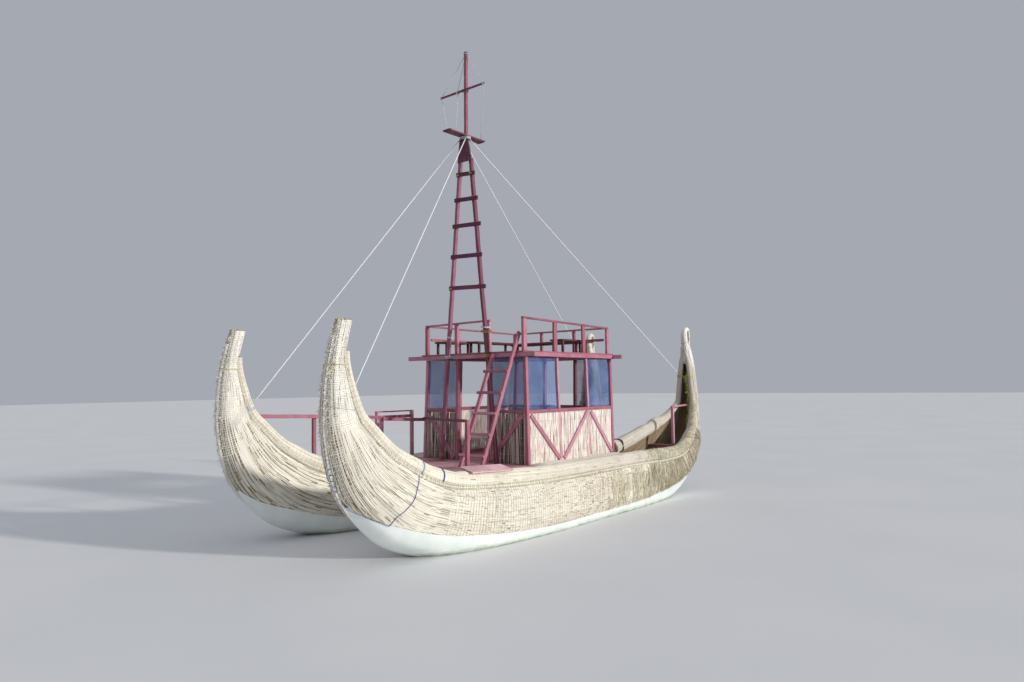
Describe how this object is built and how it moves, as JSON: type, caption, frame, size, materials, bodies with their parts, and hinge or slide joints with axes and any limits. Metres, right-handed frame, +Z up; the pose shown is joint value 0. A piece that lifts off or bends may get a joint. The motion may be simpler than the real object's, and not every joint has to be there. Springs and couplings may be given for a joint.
{
  "type": "reed catamaran boat",
  "caption": "Twin-hull reed boat with raised bows and curled sterns, a timber cabin with a railed roof deck, ladder, A-frame mast and stays.",
  "frame": {"origin": "centre of the whole boat's box, on the plane of the keel flats; the waterline is at z = 0.4 m", "axes": "+X to the bow, +Y to port, +Z up"},
  "size_m": [10.75, 4.01, 9.3653],
  "materials": {
    "float_skin": "pale mint-white fibreglass, weathered",
    "reed_side": "dry reeds bound side by side",
    "reed_roll": "bound roll of dry reeds",
    "reed_horn": "bound bundle of dry reeds",
    "raw_wood": "bare weathered board",
    "deck_wood": "worn red-pink painted boards",
    "red_wood": "sawn timber, faded oxide-red paint",
    "mast_wood": "sawn timber, faded oxide-red paint",
    "cane": "upright split canes",
    "film": "translucent plastic film, hazed",
    "stay_line": "white twisted line"
  },
  "bodies": {
    "root": {"port_float": "float_skin", "port_outboard_reed_side": "reed_side", "port_inboard_reed_side": "reed_side", "port_outboard_roll": "reed_roll", "port_inboard_roll_forward": "reed_roll", "port_inboard_roll_aft": "reed_roll", "port_bow_horn": "reed_horn", "port_stern_horn": "reed_horn", "port_stern_tail": "reed_horn", "starboard_float": "float_skin", "starboard_outboard_reed_side": "reed_side", "starboard_inboard_reed_side": "reed_side", "starboard_outboard_roll": "reed_roll", "starboard_inboard_roll_forward": "reed_roll", "starboard_inboard_roll_aft": "reed_roll", "starboard_bow_horn": "reed_horn", "starboard_stern_horn": "reed_horn", "starboard_stern_tail": "reed_horn", "hull_thwarts": "raw_wood", "deck_beams": "deck_wood", "front_deck_planks": "deck_wood", "cabin_floor_planks": "deck_wood", "port_step_plank": "deck_wood", "cabin_posts": "red_wood", "cabin_wall_rails": "red_wood", "cabin_braces": "red_wood", "port_reed_panels": "cane", "starboard_reed_panels": "cane", "front_reed_panels": "cane", "aft_reed_panels": "cane", "window_panes": "film", "roof_beams": "red_wood", "roof_planks": "red_wood", "roof_fascias": "red_wood", "roof_rail_posts": "red_wood", "roof_rails": "red_wood", "roof_benches": "red_wood", "ladder_stiles": "red_wood", "ladder_rungs": "red_wood", "mast_legs": "mast_wood", "mast_rungs": "mast_wood", "mast_gusset": "mast_wood", "topmast": "mast_wood", "mast_cross_plank": "mast_wood", "yard": "mast_wood", "main_stays": "stay_line", "barrier_post": "red_wood", "barrier_pole": "red_wood", "starboard_handrail": "red_wood", "handrail_posts": "red_wood", "starboard_side_rail": "red_wood", "stern_rail": "red_wood"}
  },
  "joints": []
}
